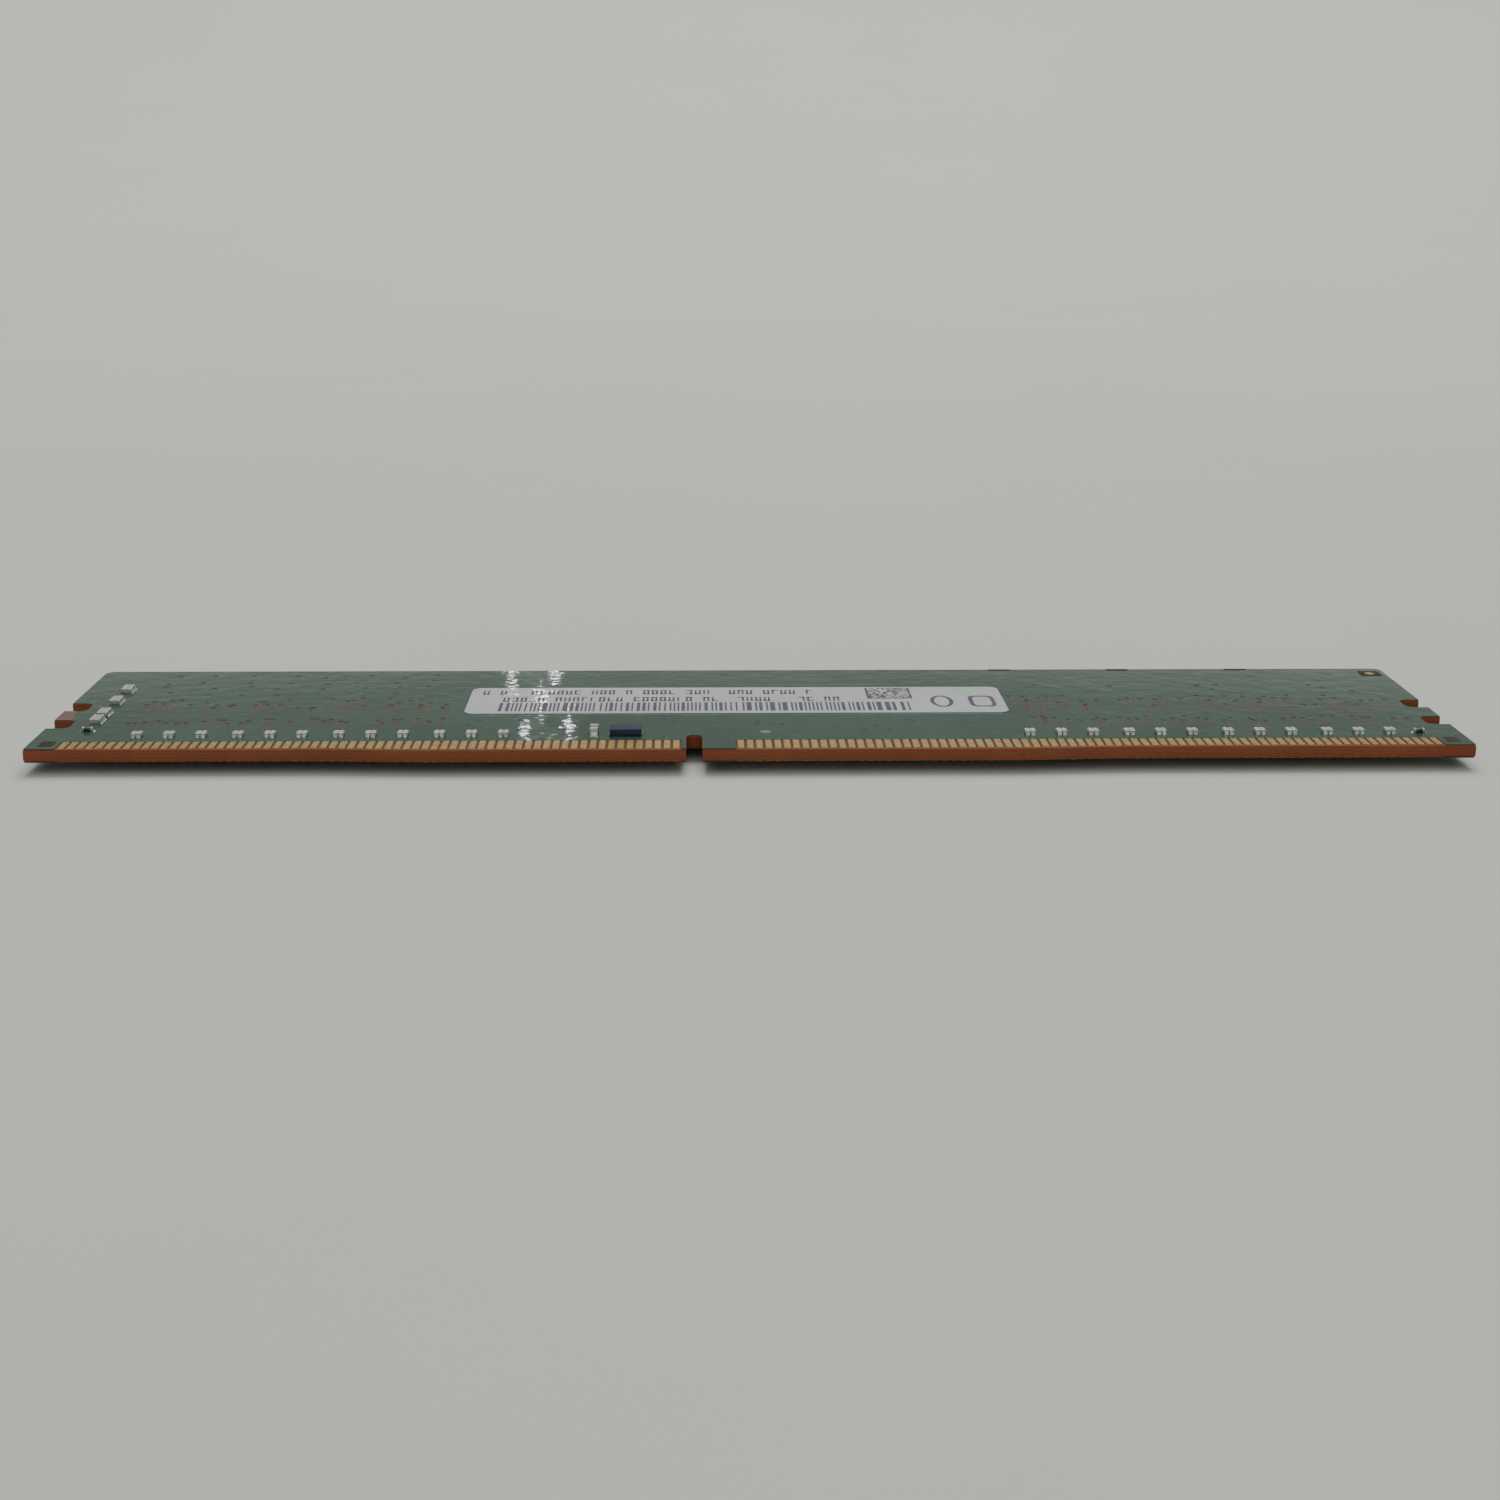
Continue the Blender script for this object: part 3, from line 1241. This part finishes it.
@dataclass
class MemoryChip:
    """Memory chip package: moulded top on a thin substrate, on a grid of solder balls."""

    substrate_height: float = 0.22
    ball_radius: float = 0.22
    ball_pitch: float = 0.8
    ball_columns: tuple[float, ...] = (-3.2, -2.4, -1.6, 1.6, 2.4, 3.2)
    ball_rows: int = 13
    corner: float = 0.12
    mould_inset: float = 0.03
    mould_rim: float = 0.09
    mark_inset: float = 1.0

    def ball(self, height: float) -> Surface:
        """Return one ball, pressed flat at both ends: radius follows a circle's chord."""
        levels = np.linspace(0, height, 6)
        middle = height / 2
        radii = np.sqrt(self.ball_radius**2 - (levels - middle) ** 2)
        return turned_solid(list(zip(radii, levels)), 10)

    def build(self, finishes: Finishes, number: int) -> None:
        """Make one chip and its balls in the place of their nodes."""
        low, high = node_box(f"memory_chip_{number}")
        size, place = high - low, (low + high) / 2
        outline = rounded_rectangle(size[0], size[1], self.corner)
        mould_top = size[2] - self.substrate_height
        mould = slab(inset(outline, self.mould_inset), 0.0, mould_top, self.mould_rim, 3)
        substrate = slab(outline, mould_top, size[2], 0.02, 1)
        dimple = turned_solid([(0.42, 0.0), (0.42, 0.01), (0.36, 0.014)], 24)
        dimple = dimple.moved(-size[0] / 2 + self.mark_inset, -size[1] / 2 + self.mark_inset, 0.0)
        body = joined([mould, dimple, substrate.dressed(1)]).moved(place[0], place[1], low[2])
        write_piece(f"memory_package_{number}", body, [finishes.mould, finishes.substrate],
                    (f"memory_chip_{number}",), smooth_deg=12.0)
        low, high = node_box(f"memory_chip_solder_{number}")
        rows = (np.arange(self.ball_rows) - (self.ball_rows - 1) / 2) * self.ball_pitch
        grid = np.array([[place[0] + u, place[1] + v, low[2]] for u in self.ball_columns for v in rows])
        balls = self.ball(high[2] - low[2]).repeated(grid)
        write_piece(f"solder_balls_{number}", balls, [finishes.tin],
                    (f"memory_chip_solder_{number}",))


# ---------------------------------------------------------------------------------------------
# Label
# ---------------------------------------------------------------------------------------------


@dataclass
class Label:
    """Paper label with plain generic print: bars, a square code, mock lines and two shapes."""

    seed: int = 5
    print_height: float = 0.008
    corner: float = 1.0
    print_root: float = 0.002
    bar_count: int = 96
    bar_widths: tuple[float, ...] = (0.19, 0.34, 0.5)
    bar_chances: tuple[float, ...] = (0.7, 0.22, 0.08)
    gap_widths: tuple[float, ...] = (0.2, 0.34, 0.5)
    gap_chances: tuple[float, ...] = (0.6, 0.3, 0.1)
    bar_span: tuple[float, float] = (3.2, 43.6)
    bar_rise: tuple[float, float] = (0.7, 4.1)
    code_cells: int = 18
    code_cell: float = 0.25
    code_place: tuple[float, float] = (39.5, 5.4)
    sign_pitch: float = 0.86
    sign_height: float = 1.65
    stroke: float = 0.2
    sign_share: float = 0.72
    space_chance: float = 0.16
    stroke_chances: tuple[float, ...] = (0.9, 0.75, 0.6, 0.6)
    lines: tuple[tuple[float, float, float], ...] = ((7.5, 1.2, 3.6), (7.5, 6.0, 33.9), (4.6, 3.4, 36.4))
    shape_line: float = 0.42
    ring_half: tuple[float, float] = (1.15, 2.3)
    ring_place: tuple[float, float] = (46.8, 4.3)
    square_half: tuple[float, float] = (1.3, 2.2)
    square_place: tuple[float, float] = (50.8, 4.3)
    spot_size: tuple[float, float] = (1.7, 2.2)
    spot_corner: float = 0.8
    spot_place: tuple[float, float] = (49.4, 8.2)

    def build(self, finishes: Finishes) -> None:
        """Make the paper and the print."""
        low, high = node_box("label")
        size, place = high - low, (low + high) / 2
        sheet = slab(rounded_rectangle(size[0], size[1], self.corner, 8), 0.0, size[2], 0.03, 1)
        write_piece("paper_label", sheet.moved(place[0], place[1], low[2]), [finishes.paper],
                    ("label",))
        base = high[2] - self.print_root
        rng = np.random.default_rng(self.seed)
        ink = joined([self.bar_code(rng, low, base), self.square_code(rng, low, base),
                      self.mock_lines(rng, low, base), self.shapes(low, base)])
        write_piece("label_print", ink, [finishes.ink])
        spot = slab(rounded_rectangle(*self.spot_size, self.spot_corner, 6), base, base + self.print_height)
        write_piece("label_green_spot", spot.moved(*(low[:2] + self.spot_place)), [finishes.green_ink])

    def bar_code(self, rng: np.random.Generator, low: np.ndarray, base: float) -> Surface:
        """Return a row of upright bars of random widths along the lower part of the label."""
        count = self.bar_count
        widths = rng.choice(self.bar_widths, count, p=self.bar_chances)
        gaps = rng.choice(self.gap_widths, count, p=self.gap_chances)
        starts = low[0] + self.bar_span[0] + np.concatenate([[0], np.cumsum(widths + gaps)[:-1]])
        corners = np.column_stack([starts, np.full(count, low[1] + self.bar_rise[0])])
        far = np.column_stack([starts + widths, np.full(count, low[1] + self.bar_rise[1])])
        keep = far[:, 0] < low[0] + self.bar_span[1]
        return bars(corners[keep], far[keep], base, self.print_height)

    def square_code(self, rng: np.random.Generator, low: np.ndarray, base: float) -> Surface:
        """Return a square field of random cells with two solid sides, which stands for no data."""
        count, cell = self.code_cells, self.code_cell
        filled = rng.random((count, count)) < 0.5
        filled[0, :] = True
        filled[:, 0] = True
        rows, columns = np.nonzero(filled)
        start = low[:2] + self.code_place
        corner = np.column_stack([start[0] + columns * cell, start[1] + rows * cell])
        return bars(corner, corner + cell * 0.98, base, self.print_height)

    def mock_lines(self, rng: np.random.Generator, low: np.ndarray, base: float) -> Surface:
        """Return lines of small block signs, which spell nothing.

        Every sign is a cell of two upright and two level strokes, each there or not by chance.
        """
        starts, feet = [], []
        for foot, start, end in self.lines:
            cells = np.arange(start, end, self.sign_pitch)
            cells = cells[rng.random(len(cells)) > self.space_chance]
            starts.append(cells)
            feet.append(np.full(len(cells), foot))
        cell = np.column_stack([np.concatenate(starts), np.concatenate(feet)]) + low[:2]
        rise, width, stroke = self.sign_height, self.sign_pitch * self.sign_share, self.stroke
        strokes = [((0, 0), (stroke, rise)), ((width - stroke, 0), (width, rise)),
                   ((0, 0), (width, stroke * 1.6)), ((0, rise - stroke * 1.6), (width, rise))]
        there = rng.random((len(strokes), len(cell))) < np.array(self.stroke_chances)[:, None]
        corners = np.concatenate([cell[mask] + near for mask, (near, _) in zip(there, strokes)])
        far = np.concatenate([cell[mask] + end for mask, (_, end) in zip(there, strokes)])
        return bars(corners, far, base, self.print_height)

    def shapes(self, low: np.ndarray, base: float) -> Surface:
        """Return a plain ring and a plain rounded square outline."""
        ring = band(48, self.ring_half, self.shape_line, ELLIPSE, base, self.print_height)
        square = band(48, self.square_half, self.shape_line, ROUNDED_SQUARE, base, self.print_height)
        return joined([ring.moved(*(low[:2] + self.ring_place)),
                       square.moved(*(low[:2] + self.square_place))])


# ---------------------------------------------------------------------------------------------
# Stage, lights and camera
# ---------------------------------------------------------------------------------------------


@dataclass
class Studio:
    """Pale round floor that sweeps up into a backdrop, soft lights and the camera."""

    floor_radius: float = 0.45
    sweep_radius: float = 1.5
    inner_radius: float = 0.02
    floor_rings: int = 8
    sweep_rings: int = 24
    around: int = 96
    floor_drop: float = 0.00002
    azimuth_deg: float = -1.424
    elevation_deg: float = 15.251
    roll_deg: float = 0.176
    distance: float = 0.2197
    aim_right: float = -0.000105
    aim_up: float = -0.004276
    lens_mm: float = 53.71
    clip_start: float = 0.005
    clip_end: float = 20.0
    sky_colour: tuple = rgba(0.95, 0.97, 0.96)
    sky_strength: float = 0.75
    soft_lamps: tuple[tuple, ...] = (
        ("soft_overhead", (0.05, 0.75, 1.15), (0, 0.35, 0), 1.0, 16.5),
        ("soft_front", (0.0, -0.6, 0.26), (0, 0, 0), 0.5, 1.2))
    cluster_centre: Vector = field(default_factory=lambda: Vector((-0.0823, 0.863, 0.2176)))
    cluster_target: Vector = field(default_factory=lambda: Vector((-0.0207, 0.002, 0.0024)))
    cluster_watts: float = 0.0005
    cluster_disc: float = 0.0025
    cluster: tuple[tuple[float, float], ...] = (
        (0.005, 0.030), (-0.008, 0.017), (0.0135, 0.014), (0.0, 0.0), (-0.014, -0.0145), (0.0075, -0.0175),
        (-0.0055, -0.0315))

    def floor(self, finishes: Finishes) -> None:
        """Make the floor: a disc, then a quarter circle up to a rim, carried round the axis."""
        around = self.around
        t = np.linspace(0, math.pi / 2, self.sweep_rings)[1:]
        flat = np.linspace(self.inner_radius, self.floor_radius, self.floor_rings)
        radius = np.concatenate([flat, self.floor_radius + self.sweep_radius * np.sin(t)])
        height = np.concatenate([np.zeros(self.floor_rings), self.sweep_radius * (1 - np.cos(t))])
        angles = np.linspace(0, 2 * math.pi, around, endpoint=False)
        ring = np.stack([np.cos(angles), np.sin(angles)], -1)
        points = np.concatenate([radius[:, None, None] * ring[None],
                                 np.broadcast_to(height[:, None, None], (len(radius), around, 1))], -1)
        points[..., 2] -= self.floor_drop
        i, j = np.meshgrid(np.arange(len(radius) - 1), np.arange(around), indexing="ij")
        near, far, after = i * around, (i + 1) * around, (j + 1) % around
        quads = np.stack([near + j, far + j, far + after, near + after], -1)
        faces = quads.reshape(-1, 4).tolist() + [list(range(around))]
        mesh = bpy.data.meshes.new("floor")
        mesh.from_pydata(points.reshape(-1, 3).tolist(), [], faces)
        mesh.polygons.foreach_set("use_smooth", np.ones(len(mesh.polygons), bool))
        mesh.materials.append(finishes.stage)
        floor = bpy.data.objects.new("floor", mesh)
        bpy.context.scene.collection.objects.link(floor)

    def lamp(self, name: str, place: Vector | tuple, target: Vector | tuple, size: float, watts: float,
             round_shape: bool = False) -> None:
        """Hang one area light.

        Args:
            name: Name of the light.
            place: Where it hangs, in metres.
            target: Where it points.
            size: Side or diameter.
            watts: Power.
            round_shape: True for a disc.
        """
        light = bpy.data.lights.new(name, "AREA")
        light.shape = "DISK" if round_shape else "SQUARE"
        light.size = size
        light.energy = watts
        lamp = bpy.data.objects.new(name, light)
        away = Vector(place) - Vector(target)
        lamp.matrix_world = Matrix.Translation(place) @ away.to_track_quat("Z", "Y").to_matrix().to_4x4()
        lamp.visible_camera = False
        bpy.context.scene.collection.objects.link(lamp)

    def lights(self) -> None:
        """Set an even sky, a large soft lamp above, one in front and a tiny cluster behind."""
        world = bpy.data.worlds.new("even_sky")
        world.use_nodes = True
        sky = world.node_tree.nodes["Background"].inputs
        sky["Color"].default_value = self.sky_colour
        sky["Strength"].default_value = self.sky_strength
        bpy.context.scene.world = world
        for lamp in self.soft_lamps:
            self.lamp(*lamp)
        for number, (side, up) in enumerate(self.cluster):
            place = self.cluster_centre + Vector((side, 0.0, up))
            self.lamp(f"cluster_{number}", place, self.cluster_target, self.cluster_disc,
                      self.cluster_watts, round_shape=True)

    def camera(self) -> None:
        """Place the camera on its line of sight to the middle of the label side."""
        azimuth, elevation, roll = map(math.radians, (self.azimuth_deg, self.elevation_deg, self.roll_deg))
        back = Vector((math.sin(azimuth) * math.cos(elevation), -math.cos(azimuth) * math.cos(elevation),
                       math.sin(elevation)))
        level_right = Vector((0, 0, 1)).cross(back).normalized()
        level_up = back.cross(level_right)
        right = math.cos(roll) * level_right + math.sin(roll) * level_up
        up = math.cos(roll) * level_up - math.sin(roll) * level_right
        centre = Vector((0, 0, LABEL_FACE * MM))
        place = centre + right * self.aim_right + up * self.aim_up + back * self.distance
        data = bpy.data.cameras.new("camera")
        data.lens = self.lens_mm
        data.clip_start = self.clip_start
        data.clip_end = self.clip_end
        camera = bpy.data.objects.new("camera", data)
        camera.matrix_world = Matrix((
            (right.x, up.x, back.x, place.x), (right.y, up.y, back.y, place.y),
            (right.z, up.z, back.z, place.z), (0, 0, 0, 1)))
        bpy.context.scene.collection.objects.link(camera)
        bpy.context.scene.camera = camera

    def build(self, finishes: Finishes) -> None:
        """Make the floor, the lights and the camera."""
        self.floor(finishes)
        self.lights()
        self.camera()


def main() -> None:
    """Build the module from the board outwards, then the studio."""
    logging.basicConfig(level=logging.INFO, format="%(message)s")
    finishes = Finishes()
    Studio().build(finishes)
    board = Board()
    contacts = Contacts(board)
    board.build(finishes, contacts.spans())
    contacts.build(finishes)
    chips = [node_centre(f"memory_chip_{number}") for number in range(1, MEMORY_CHIPS + 1)]
    copper = Copper()
    copper.label_side(finishes)
    copper.chip_side(finishes, chips)
    parts = SmallParts(finishes)
    parts.arrays()
    parts.end_column()
    parts.data_chip()
    parts.bulk_capacitors()
    for number in range(1, MEMORY_CHIPS + 1):
        MemoryChip().build(finishes, number)
    Label().build(finishes)


if __name__ == "__main__":
    main()
